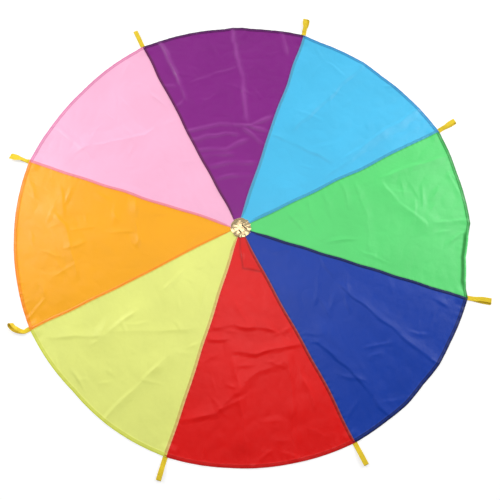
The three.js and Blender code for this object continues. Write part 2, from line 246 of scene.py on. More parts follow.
class CanopySizes(bpy.types.PropertyGroup):
    radius: length_property("Radius", "Crown to the outside of the hem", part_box("gore_sky")[1].x)
    cloth: length_property("Cloth", "Thickness of one ply", 0.4 * MM)
    hem_width: length_property("Hem width", "Of the turned hem", 14 * MM)
    lap_width: length_property("Lap width", "Of the felled seam allowance", 11 * MM)
    doubled: length_property("Hem thickness", "Thickness of a hem or a lap", 1.2 * MM)
    fold_height: length_property("Fold height", "Of the broad low folds", 2.5 * MM)
    fold_half_width: length_property("Fold half-width", "Of the broad low folds", 75 * MM)
    crumple: length_property("Crumple", "Height of the cloth's small unevenness", 0.9 * MM)
    wrinkles: IntProperty(name="Wrinkles", description="Short faint wrinkles in each gore", default=22, min=0)
    pucker: length_property("Pucker", "Height of the puckers along hems and seams", 0.8 * MM)
    stitch_pitch: length_property("Stitch", "From one stitch to the next", 4.2 * MM)


class HandleSizes(bpy.types.PropertyGroup):
    width: length_property(
        "Webbing width", "Width of the strap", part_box("handle_tail_1")[1].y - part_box("handle_tail_1")[0].y
    )
    thickness: length_property("Webbing thickness", "Thickness of the strap", 1.2 * MM)
    sewn: length_property("Sewn length", "Of the strap's ends under the hem", 26 * MM)
    colour: colour_property("Webbing colour", "Of the woven strap", "F5D42C")


class CrownSizes(bpy.types.PropertyGroup):
    radius: length_property("Radius", "Of the cap", 45 * MM)
    gathers: IntProperty(name="Gathers", description="Scallops round the cap's edge", default=11, min=3)
    dome: length_property("Dome", "Rise of the cap to its middle", 3.2 * MM)
    crush: length_property("Crush", "Height of the cap's crinkles", 3.2 * MM)
    colour: colour_property("Cap colour", "Of the gold cloth", "FDE2B0")


class StageSettings(bpy.types.PropertyGroup):
    lens: FloatProperty(
        name="Lens", description="Focal length, on a sensor 36 mm wide", unit="CAMERA", default=45.49
    )
    distance: length_property("Distance", "From the camera to its target", 2.72696)
    azimuth: FloatProperty(
        name="Azimuth", description="Of the camera round the canopy", subtype="ANGLE",
        default=math.radians(-27.1875),
    )
    elevation: FloatProperty(
        name="Elevation", description="Of the camera over the floor", subtype="ANGLE",
        default=math.radians(75.4694),
    )
    softbox: FloatProperty(
        name="Softbox", description="Power of the soft light on either side", unit="POWER", default=32
    )
    overhead: FloatProperty(
        name="Overhead", description="Power of the soft light overhead", unit="POWER", default=7.5
    )
    walls: FloatProperty(name="Walls", description="Strength of the light from the pale walls", default=0.72)
    ceiling: FloatProperty(name="Ceiling", description="Strength of the light from the ceiling", default=0.2)


# Shapes shared by the pieces


def ramp(x, low, high):
    return np.clip((x - low) / (high - low), 0, 1)


def smooth(x, low, high):
    t = ramp(x, low, high)
    return t * t * (3 - 2 * t)


def unit(v):
    return v / np.linalg.norm(v, axis=-1, keepdims=True)


def flat_place(r, degrees):
    """The place that many millimetres from the crown and degrees from +X, in metres."""
    return np.array([r * MM * math.cos(math.radians(degrees)), r * MM * math.sin(math.radians(degrees))])


def from_line(x, y, places):
    """Distance of points from a line through places given by distance and degrees, positive to its left, and
    how far along it the nearest point lies, from either end, as lengths."""
    corners = [flat_place(*place) for place in places]
    lengths = [np.linalg.norm(b - a) for a, b in zip(corners, corners[1:])]
    nearest, side, done = np.full(x.shape, np.inf), np.zeros(x.shape), np.zeros(x.shape)
    start = 0.0
    for a, b, length in zip(corners, corners[1:], lengths):
        along = (b - a) / length
        dx, dy = x - a[0], y - a[1]
        step = np.clip(dx * along[0] + dy * along[1], 0, length)
        away = np.hypot(dx - step * along[0], dy - step * along[1])
        closer = away < nearest
        nearest = np.where(closer, away, nearest)
        side = np.where(closer, np.sign(along[0] * dy - along[1] * dx), side)
        done = np.where(closer, start + step, done)
        start += length
    return nearest * side, done, start - done


def uneven(x, y, scale, seed):
    """A smooth uneven field, mostly between -1 and 1, whose features have about that size."""
    draw = np.random.default_rng(seed)
    total = 0
    for _ in range(9):
        heading, phase = draw.uniform(0, 2 * math.pi, 2)
        length = scale * draw.uniform(1.3, 3)
        total = total + np.sin((x * math.cos(heading) + y * math.sin(heading)) * 2 * math.pi / length + phase)
    return total / 3


class Cloth:
    """The laid canopy: where each place of it lies, and how it is creased there."""

    TAIL_LIFT = 3.1 * MM  # of the hem over the webbing sewn under it
    TAIL_HALF = 12 * MM  # half-width of that rise
    TAIL_RUN = 32 * MM  # over which it runs out on either side
    TAIL_FROM, TAIL_TO = 58 * MM, 26.5 * MM  # in from the rim: where it starts and from where it is full
    BACKING_LIFT = 0.7 * MM  # of the gores' tips over the crown's backing
    CREST = 1.6 * MM  # over which the crest of a crease is rounded
    FLANK_POWER = 1.6  # how hollow its flanks are
    CREASE_END = 50 * MM  # over which a crease runs out
    CREASE_WAVER, CREASE_WAVE = 3 * MM, 60 * MM  # how far its line wavers, and over what length
    HEM_REACH = 10 * MM  # a crease that ends closer to the hem than this doesn't run out there
    PAINTED_HIGHLIGHT_HALF = 9 * MM  # half-width of the painted highlight, a paler line, along a crest
    PAINTED_HIGHLIGHT_HIGH = 4  # height in millimetres from which a crest's painted highlight is at its palest
    PAINTED_HIGHLIGHT_POWER = 2.5  # how fast lower ones lose that
    SEAM_WAVER, SEAM_WAVE = 2 * MM, 110 * MM  # how far a seam wavers, and over what length
    PULL_FROM = 0.55  # share of the radius from which the rim's shape is felt
    TUCK_RISE = 3 * MM  # over which a tuck rises
    TUCK_SHADE_FADE = 5 * MM  # over which the painted shade at its folded edge fades
    SWELL, RIDGE = 150 * MM, 58 * MM  # sizes of the crumple's features
    SEAM_PUCKER, RIM_PUCKER = 26 * MM, 34 * MM  # from one pucker to the next
    SEAM_PUCKERED, RIM_PUCKERED = 30 * MM, 50 * MM  # how far from a seam and from the rim puckers reach
    RIM_CLEAR = 60 * MM  # from a seam, where the rim's puckers have their full height
    # From a seam: where these begin, and from where they have their full height
    FOLDS_RISE, CREASES_RISE, CRUMPLE_RISE = (12 * MM, 92 * MM), (1 * MM, 16 * MM), (0, 60 * MM)
    # The same from the crown
    CRUMPLE_FROM, PUCKERS_FROM = (45 * MM, 120 * MM), (60 * MM, 110 * MM)
    CURL_IN, CURL_OUT = 8 * MM, 10 * MM  # the same inside and outside the hem's inside edge
    LIE_FROM = 10 * MM  # from the crown, where the seams begin to lie aside
    WRINKLE_REACH = 1000  # millimetres from the crown within which the short wrinkles lie

    def __init__(self):
        self.size = bpy.context.scene.parachute_canopy
        self.crown = bpy.context.scene.parachute_crown
        self.rim_angles, self.rim_out = np.array(RIM, float).T
        self.hem = self.size.radius - self.size.hem_width

    def seam_distances(self, k, r, angle):
        """Distances of a place of gore k from its first and its second seam."""
        return r * np.sin(angle - k * SECTOR), r * np.sin((k + 1) * SECTOR - angle)

    def rim_offset(self, angle):
        return np.interp(np.degrees(angle) % 360, self.rim_angles, self.rim_out) * MM

    def crease(self, x, y, left, right, places):
        """A crease with a crest along a wavering line and a flank on either side, which runs out at its free
        ends: its height, and how strong the painted highlight along its crest is, from 0 to 1."""
        draw = int(abs(places[0][0] + 7 * places[0][1]))
        aside = [self.CREASE_WAVER * uneven(x, y, self.CREASE_WAVE, seed) for seed in (draw, draw + 1)]
        across, from_start, from_end = from_line(x + aside[0], y + aside[1], places)
        away = (np.sqrt(across**2 + self.CREST**2) - self.CREST) / np.where(across > 0, left, right)
        level = np.clip(0.85 + 0.3 * uneven(from_start, 0 * x, self.CREASE_WAVE, draw + 2), 0.4, 1.2)
        for reach, along in ((places[0][0], from_start), (places[-1][0], from_end)):
            if reach * MM < self.hem - self.HEM_REACH:
                level = level * smooth(along, 0, self.CREASE_END)
        flanks = np.clip(1 - away, 0, 1) ** self.FLANK_POWER
        return level * flanks, level * np.exp(-((across / self.PAINTED_HIGHLIGHT_HALF) ** 2))

    def wrinkles(self, k):
        """Short faint wrinkles scattered over gore k, in the form of CREASES."""
        draw = np.random.default_rng(k + 300)
        made = []
        for _ in range(self.size.wrinkles):
            r = self.WRINKLE_REACH * math.sqrt(draw.uniform(0.03, 0.95))
            start = flat_place(r, math.degrees(SECTOR) * (k + draw.uniform(0.06, 0.94)))
            heading, length = draw.uniform(0, 2 * math.pi), draw.uniform(70, 170) * MM
            end = start + length * np.array([math.cos(heading), math.sin(heading)])
            places = [(np.linalg.norm(p) / MM, math.degrees(math.atan2(p[1], p[0]))) for p in (start, end)]
            made.append((draw.uniform(0.7, 1.5), draw.uniform(10, 14), draw.uniform(14, 26), places))
        return made

    def pulled(self, k, r, angle):
        """How far round a place of gore k lies from where an even canopy would have it, as a length."""
        first, second = (
            np.interp(r / MM, LIE_AT, GORES[seam].lie) * MM
            + self.SEAM_WAVER * uneven(r, 0 * r, self.SEAM_WAVE, seam + 500)
            for seam in (k, (k + 1) % len(GORES))
        )
        share = (angle - k * SECTOR) / SECTOR
        return (first * (1 - share) + second * share) * smooth(r, self.LIE_FROM, self.crown.radius)

    def tucked(self, k, r, angle):
        """1 where gore k lies in a tuck and 0 elsewhere, and how deep the painted shade at its folded edge
        is.
        """
        line = TUCKS.get(GORES[k].name)
        if not line:
            return 0 * r, 0 * r
        inside = from_line(r * np.cos(angle), r * np.sin(angle), line)[0]
        return smooth(inside, 0, self.TUCK_RISE), np.exp(-((inside / self.TUCK_SHADE_FADE) ** 2))

    def curled(self, angle):
        """1 where the hem has curled up on end and 0 elsewhere."""
        start, stop = CURLED
        turn = np.degrees(angle)
        return smooth(turn, start - CURL_RUN, start) * (1 - smooth(turn, stop, stop + CURL_RUN))

    def over_tail(self, r):
        """1 as far out as the webbing sewn under the hem lies, and 0 further in."""
        return smooth(r, self.size.radius - self.TAIL_FROM, self.size.radius - self.TAIL_TO)

    def lift(self, r, angle, near):
        """Height of the cloth over the webbing and the backing under it, and where its hem has curled up."""
        over_webbing = self.over_tail(r) * (1 - smooth(near, self.TAIL_HALF, self.TAIL_HALF + self.TAIL_RUN))
        over_backing = 1 - smooth(r, self.crown.radius, self.crown.radius + self.TAIL_RUN)
        on_end = self.curled(angle) * smooth(r, self.hem - self.CURL_IN, self.hem + self.CURL_OUT)
        return self.TAIL_LIFT * over_webbing + self.BACKING_LIFT * over_backing + CURL_HEIGHT * on_end

    def folds(self, k, x, y, near):
        """Height of the folds and creases of gore k, and how pale its crests are painted: a painted
        highlight.
        """
        size, name = self.size, GORES[k].name
        away = [from_line(x, y, [f[:2], f[2:]])[0] / size.fold_half_width for f in FOLDS[name]]
        broad = np.max([np.clip(1 - a * a, 0, 1) ** 2 for a in away], axis=0)
        height = size.fold_height * broad * ramp(near, *self.FOLDS_RISE)
        pale = 0
        for high, left, right, places in CREASES[name] + self.wrinkles(k):
            rise, crest = self.crease(x, y, left * MM, right * MM, places)
            height = height + high * MM * rise * ramp(near, *self.CREASES_RISE)
            # crests are painted paler, a painted highlight, strongest on the highest creases
            pale = np.maximum(pale, crest * min(1, high / self.PAINTED_HIGHLIGHT_HIGH) ** self.PAINTED_HIGHLIGHT_POWER)
        return height, pale

    def crumples(self, k, r, x, y, near):
        """Height of the small unevenness of gore k, which dies out at its seams and at the crown."""
        level = 0.8 * uneven(x, y, self.SWELL, seed=k) + 0.5 * np.abs(uneven(x, y, self.RIDGE, seed=k + 20))
        inside = ramp(near, *self.CRUMPLE_RISE) * smooth(r, *self.CRUMPLE_FROM)
        return self.size.crumple * np.clip(0.6 + level, 0, 2) * inside

    def puckers(self, r, angle, near, seam):
        """Height of the puckers along the seams and round the rim, off the webbing and the crown."""
        size = self.size
        x, y = r * np.cos(angle), r * np.sin(angle)
        along = 2 * np.pi * r / self.SEAM_PUCKER + 3 * uneven(r, seam, 90 * MM, seed=55)
        at_seam = np.clip(1 - near / self.SEAM_PUCKERED, 0, 1) ** 2 * (1 - self.over_tail(r))
        round_rim = 2 * np.pi * angle * size.radius / self.RIM_PUCKER + 4 * uneven(x, y, 120 * MM, seed=95)
        at_rim = smooth(r, size.radius - self.RIM_PUCKERED, size.radius)
        at_rim = at_rim * smooth(near, self.TAIL_HALF, self.RIM_CLEAR)
        waves = (0.5 + 0.5 * np.sin(along)) * at_seam + (0.5 + 0.5 * np.sin(round_rim)) * at_rim
        return size.pucker * waves * smooth(r, *self.PUCKERS_FROM)

    def height(self, k, r, angle):
        """Height of the underside of gore k, and how pale its crests are painted: a painted highlight."""
        x, y = r * np.cos(angle), r * np.sin(angle)
        first, second = self.seam_distances(k, r, angle)
        near = np.maximum(np.minimum(first, second), 0)
        seam = np.where(first < second, k, k + 1) % len(GORES)
        folds, pale = self.folds(k, x, y, near)
        small = self.crumples(k, r, x, y, near) + self.puckers(r, angle, near, seam)
        return self.lift(r, angle, near) + folds + small, pale

    def lay(self, k, r, angle):
        """Where a place of gore k lies: x, y and the height of its underside. Then how pale its painted
        highlight makes it.
        """
        pull = ramp(r, self.PULL_FROM * self.size.radius, self.size.radius) ** 2
        out = r + pull * self.rim_offset(angle)
        aside = self.pulled(k, r, angle)
        x = out * np.cos(angle) - aside * np.sin(angle)
        y = out * np.sin(angle) + aside * np.cos(angle)
        height, pale = self.height(k, r, angle)
        return np.stack([x, y, height], axis=-1), pale


def lap_sides(k):
    """Whether gore k carries the lap of its first and of its second seam."""
    return GORES[k].side == 1, GORES[(k + 1) % len(GORES)].side == -1


def mesh_object(name, vertices, faces, uv=None, attributes=None):
    """A new object at the origin, smooth, with a UV place and other numbers for each vertex."""
    mesh = bpy.data.meshes.new(name)
    mesh.from_pydata(vertices, [], faces)
    mesh.polygons.foreach_set("use_smooth", np.ones(len(mesh.polygons), bool))
    if uv is not None:
        corner = np.zeros(len(mesh.loops), np.int32)
        mesh.loops.foreach_get("vertex_index", corner)
        layer = mesh.uv_layers.new(name="cloth")
        layer.data.foreach_set("uv", np.asarray(uv, np.float32)[corner].ravel())
    for key, values in (attributes or {}).items():
        attribute = mesh.attributes.new(key, "FLOAT", "POINT")
        attribute.data.foreach_set("value", np.asarray(values, np.float32).ravel())
    mesh.validate()
    mesh.update()
    made = bpy.data.objects.new(name, mesh)
    bpy.context.scene.collection.objects.link(made)
    return made


def sharpen(obj, degrees):
    bpy.ops.object.select_all(action="DESELECT")
    obj.select_set(True)
    bpy.context.view_layer.objects.active = obj
    bpy.ops.object.shade_smooth_by_angle(angle=math.radians(degrees))


def closed_sheet(name, upper, lower, uv, attributes):
    """A thin closed sheet from two grids of points whose rows run outwards and whose columns run
    anticlockwise."""
    rows, columns = upper.shape[:2]
    top = np.arange(rows * columns).reshape(rows, columns)
    low = top + rows * columns
    faces = [
        np.stack([top[:-1, :-1], top[1:, :-1], top[1:, 1:], top[:-1, 1:]], -1),
        np.stack([low[:-1, :-1], low[:-1, 1:], low[1:, 1:], low[1:, :-1]], -1),
        np.stack([top[:-1, 0], low[:-1, 0], low[1:, 0], top[1:, 0]], -1),
        np.stack([top[:-1, -1], top[1:, -1], low[1:, -1], low[:-1, -1]], -1),
        np.stack([top[0, :-1], top[0, 1:], low[0, 1:], low[0, :-1]], -1),
        np.stack([top[-1, :-1], low[-1, :-1], low[-1, 1:], top[-1, 1:]], -1),
    ]
    quads = np.concatenate([f.reshape(-1, 4) for f in faces])
    points = np.concatenate([upper.reshape(-1, 3), lower.reshape(-1, 3)])
    doubled = {key: np.concatenate([v.ravel(), v.ravel()]) for key, v in attributes.items()}
    flat_uv = np.concatenate([uv.reshape(-1, 2)] * 2)
    made = mesh_object(name, points.tolist(), quads.tolist(), flat_uv, doubled)
    sharpen(made, 50)
    return made


def swept(name, centres, sides, lifts, width, thickness):
    """Webbing along a line: at each place a flat section with rounded edges, across "sides" and thick along
    "lifts". Its UV runs along the strap and across it, in metres."""
    half, ply = width / 2 - thickness / 2, thickness / 2
    turn = np.linspace(-math.pi / 2, math.pi / 2, 5)
    right = [(half + ply * math.cos(t), ply * math.sin(t)) for t in turn]
    flat = [(half * f, ply) for f in (0.66, 0.33, 0, -0.33, -0.66)]
    section = np.array(right + flat + [(-x, -y) for x, y in right] + [(-x, -y) for x, y in flat])
    count, ring = len(centres), len(section)
    across, thick = section[None, :, :1] * sides[:, None], section[None, :, 1:] * lifts[:, None]
    points = centres[:, None] + across + thick
    index = np.arange(count * ring).reshape(count, ring)
    after = np.roll(index, -1, axis=1)
    quads = np.stack([index[:-1], after[:-1], after[1:], index[1:]], -1).reshape(-1, 4).tolist()
    ends = [index[0][::-1].tolist(), index[-1].tolist()]
    length = np.concatenate([[0], np.cumsum(np.linalg.norm(np.diff(centres, axis=0), axis=1))])
    uv = np.stack([np.repeat(length[:, None], ring, 1), np.repeat(section[None, :, 0], count, 0)], -1)
    made = mesh_object(name, points.reshape(-1, 3).tolist(), quads + ends, uv.reshape(-1, 2))
    sharpen(made, 40)
    return made


def along_line(points, pitch):
    """Places evenly spaced along a line of points, with the heading at each."""
    steps = np.linalg.norm(np.diff(points, axis=0), axis=1)
    length = np.concatenate([[0], np.cumsum(steps)])
    count = max(2, int(length[-1] / pitch))
    at = (np.arange(count) + 0.5) * length[-1] / count
    places, ahead, behind = (
        np.stack([np.interp(at + shift, length, points[:, i]) for i in range(3)], -1)
        for shift in (0, pitch / 4, -pitch / 4)
    )
    return places, unit(ahead - behind)


# Stitches


STITCH_WIDTH, STITCH_HEIGHT = 0.9 * MM, 0.6 * MM  # about twice those of a real stitch, so that they show
STITCH_SHARE = 0.8  # of the pitch that a stitch takes up
STITCH_SEAT = 0.1 * MM  # of a stitch's middle over the cloth


def stitch_shape():
    """One stitch, a metre long, wide and high, modelled from a sphere: points and faces."""
    bpy.ops.object.select_all(action="DESELECT")
    bpy.ops.mesh.primitive_uv_sphere_add(segments=6, ring_count=4, radius=0.5)
    ball = bpy.context.object
    bpy.ops.object.mode_set(mode="EDIT")
    bpy.ops.mesh.select_all(action="SELECT")
    bpy.ops.transform.rotate(value=math.pi / 2, orient_axis="Y", center_override=(0, 0, 0))
    bpy.ops.object.mode_set(mode="OBJECT")
    points = np.array([v.co for v in ball.data.vertices])
    faces = [list(p.vertices) for p in ball.data.polygons]
    bpy.data.meshes.remove(ball.data)
    return points, faces


def sew(name, node_name, thread, colour, places, headings, length, width=STITCH_WIDTH):
    """Copies of one stitch at the places, each along its heading, in a thread of one colour. They stand for
    a CAD node."""
    points, faces = stitch_shape()
    up = np.array([0.0, 0.0, 1.0])
    across = np.cross(up, headings)
    made = (
        places[:, None]
        + points[None, :, :1] * length * headings[:, None]
        + points[None, :, 1:2] * width * across[:, None]
        + points[None, :, 2:] * STITCH_HEIGHT * up
    )
    every = [[i + n * len(points) for i in face] for n in range(len(places)) for face in faces]
    piece = mesh_object(name, made.reshape(-1, 3).tolist(), every)
    put_on(piece, sewing_thread(f"polyester thread {thread}", colour), "thread", node_name)
    return piece


# Finishes


WAVE_PERIOD = math.pi / 10  # of a Wave Texture's bands at scale 1, in metres


def node(tree, kind, inputs=None, **settings):
    """Adds a shader node with its settings, and sets each input to a value, or links it to another node's
    output or to the first output of a node."""
    made = tree.nodes.new(f"ShaderNode{kind}")
    for key, value in settings.items():
        setattr(made, key, value)
    for socket, value in (inputs or {}).items():
        if isinstance(value, bpy.types.Node):
            value = value.outputs[0]
        if isinstance(value, bpy.types.NodeSocket):
            tree.links.new(value, made.inputs[socket])
        else:
            made.inputs[socket].default_value = value
    return made


def new_finish(name):
    material = bpy.data.materials.new(name)
    material.use_nodes = True
    material.node_tree.nodes.clear()
    return material, material.node_tree


def plain_weave(tree, place, spacing):
    """Height of threads that cross, the given distance apart."""
    bands = {"Vector": place, "Scale": WAVE_PERIOD / spacing}
    warp, weft = (node(tree, "TexWave", bands, bands_direction=way).outputs["Fac"] for way in "XY")
    return node(tree, "Math", {0: warp, 1: weft}, operation="ADD")


def taffeta(gore):
    """Calendered polyester taffeta: a thin plain weave, smooth and a little shiny, deeper in colour where it
    lies doubled, with painted shade in the hem's colour, painted light and shade along the laps' folded edges
    and a painted highlight on its crests. Its threads are about 0.25 mm; they are drawn 1.2 mm apart so that
    they show close by."""
    material, tree = new_finish(f"polyester taffeta {gore.name}")
    # the colour of the painted highlight along the crests
    pale = tuple(min(1, 0.15 + 2 * channel) for channel in linear(gore.cloth))
    uv = node(tree, "UVMap", uv_map="cloth").outputs["UV"]
    weave = plain_weave(tree, uv, 1.2 * MM)
    crush = node(tree, "TexNoise", {"Vector": uv, "Scale": 1 / (29.4 * MM), "Detail": 3.0, "Roughness": 0.5})
    cast = node(tree, "TexNoise", {"Vector": uv, "Scale": 1 / (200 * MM), "Detail": 2.0})
    colour = linear(gore.cloth)
    # hem also carries painted shade, edge painted light and shade, and pale the painted highlight
    tints = {"lap": linear(gore.lap), "edge": linear(gore.edge), "hem": linear(gore.hem), "pale": pale}
    for attribute, tint in tints.items():
        amount = node(tree, "Attribute", attribute_name=attribute).outputs["Fac"]
        colour = node(tree, "Mix", {0: amount, 6: colour, 7: tint}, data_type="RGBA").outputs[2]
    tone = node(tree, "MapRange", {"Value": cast, 1: 0.3, 2: 0.7, 3: 0.97, 4: 1.03})
    toned = node(tree, "VectorMath", {0: colour, 1: tone}, operation="MULTIPLY")
    rough = node(tree, "MapRange", {"Value": crush, 1: 0.3, 2: 0.7, 3: 0.3, 4: 0.42})
    threads = node(tree, "Bump", {"Height": weave, "Strength": 0.25, "Distance": 0.1 * MM})
    bump = node(tree, "Bump", {"Height": crush, "Strength": 0.5, "Distance": 1.5 * MM, "Normal": threads})
    shader = node(tree, "BsdfPrincipled", {
        "Base Color": toned, "Roughness": rough, "IOR": 1.5, "Specular IOR Level": 0.4, "Normal": bump})
    node(tree, "OutputMaterial", {"Surface": shader})
    return material


def polyester_webbing(colour):
    """Woven polyester webbing: matt, with slanting ribs about 1.6 mm wide, painted shade in their grooves and
    a faint painted highlight on their tops.
    """
    material, tree = new_finish("woven polyester webbing")
    uv = node(tree, "UVMap", uv_map="cloth").outputs["UV"]
    slanted = node(tree, "Mapping", {"Vector": uv, "Rotation": (0, 0, math.radians(38))})
    ribs = node(tree, "TexWave", {"Vector": slanted, "Scale": WAVE_PERIOD / (1.6 * MM)},
                bands_direction="X").outputs["Fac"]
    fuzz = node(tree, "TexNoise", {"Vector": uv, "Scale": 1 / (1.11 * MM), "Detail": 2.0})
    # painted shade in the grooves between the ribs, a little paler on their tops
    depth = node(tree, "MapRange", {"Value": ribs, 3: 0.78, 4: 1.04})
    tinted = node(tree, "VectorMath", {0: colour[:3], 1: depth}, operation="MULTIPLY")
    ribbed = node(tree, "Bump", {"Height": ribs, "Strength": 0.6, "Distance": 0.25 * MM})
    bump = node(tree, "Bump", {"Height": fuzz, "Strength": 0.2, "Distance": 0.1 * MM, "Normal": ribbed})
    shader = node(tree, "BsdfPrincipled", {
        "Base Color": tinted, "Roughness": 0.75, "IOR": 1.5, "Specular IOR Level": 0.3, "Sheen Weight": 0.1,
        "Normal": bump})
    node(tree, "OutputMaterial", {"Surface": shader})
    return material


def sewing_thread(name, colour):
    """Twisted polyester thread: a satin surface with a fine slanting twist, drawn 0.8 mm apart so that it
    shows, with painted shade in the twist's grooves and a faint painted highlight on its ridges."""
    material, tree = new_finish(name)
    place = node(tree, "TexCoord").outputs["Object"]
    twist = node(tree, "TexWave", {"Vector": place, "Scale": WAVE_PERIOD / (0.8 * MM)},
                 bands_direction="DIAGONAL").outputs["Fac"]
    # painted shade in the twist's grooves, a little paler on its ridges
    tone = node(tree, "MapRange", {"Value": twist, 3: 0.85, 4: 1.08})
    tinted = node(tree, "VectorMath", {0: linear(colour)[:3], 1: tone}, operation="MULTIPLY")
    bump = node(tree, "Bump", {"Height": twist, "Strength": 0.4, "Distance": 0.1 * MM})
    shader = node(tree, "BsdfPrincipled", {
        "Base Color": tinted, "Roughness": 0.6, "IOR": 1.5, "Specular IOR Level": 0.15, "Normal": bump})
    node(tree, "OutputMaterial", {"Surface": shader})
    return material


def gold_lame(colour):
    """Crushed gold foil cloth: a bright metal film with painted shade, dark brown, in its few sharp creases,
    and fine crinkles some 3 mm across between them."""
    material, tree = new_finish("crushed gold lame")
    place = node(tree, "TexCoord").outputs["Object"]
    fine = node(tree, "TexNoise", {"Vector": place, "Scale": 1 / (3 * MM), "Detail": 3.0, "Roughness": 0.6})
    # painted shade in the cap's sharp creases
    deep = node(tree, "Attribute", attribute_name="crease").outputs["Fac"]
    mixed = node(tree, "Mix", {0: deep, 6: colour, 7: linear("2E1E06")}, data_type="RGBA").outputs[2]
    rough = node(tree, "MapRange", {"Value": fine, 1: 0.3, 2: 0.7, 3: 0.14, 4: 0.24})
    bump = node(tree, "Bump", {"Height": fine, "Strength": 0.2, "Distance": 0.4 * MM})
    shader = node(tree, "BsdfPrincipled", {
        "Base Color": mixed, "Metallic": 1.0, "Roughness": rough, "Normal": bump})
    node(tree, "OutputMaterial", {"Surface": shader})
    return material


def backing_cloth():
    """Plain woven cotton, matt, its threads drawn 1.5 mm apart so that they show."""
    material, tree = new_finish("plain woven backing")
    place = node(tree, "TexCoord").outputs["Object"]
    weave = plain_weave(tree, place, 1.5 * MM)
    bump = node(tree, "Bump", {"Height": weave, "Strength": 0.4, "Distance": 0.2 * MM})
    shader = node(tree, "BsdfPrincipled", {"Base Color": linear("F4F1EA"), "Roughness": 0.85, "Normal": bump})
    node(tree, "OutputMaterial", {"Surface": shader})
    return material


# How a piece is finished and carried


def put_on(piece, material, slot, *stands_for):
    """A piece gets its finish and stands for its CAD nodes. The record's slot for it is not used."""
    piece.data.materials.clear()
    piece.data.materials.append(material)
    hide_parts(*stands_for)


def carry(piece, half, crosses_fold):
    """A piece moves with its half of the canopy, or, where it crosses the fold, has its place baked into its
    mesh.
    """
    if crosses_fold:
        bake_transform(piece)
    else:
        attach(piece, half)


def half_of_gore(k):
    return FAR if k < FOLD_SEAM else NEAR


def half_of_seam(k):
    return FAR if k <= FOLD_SEAM else NEAR


# Pieces


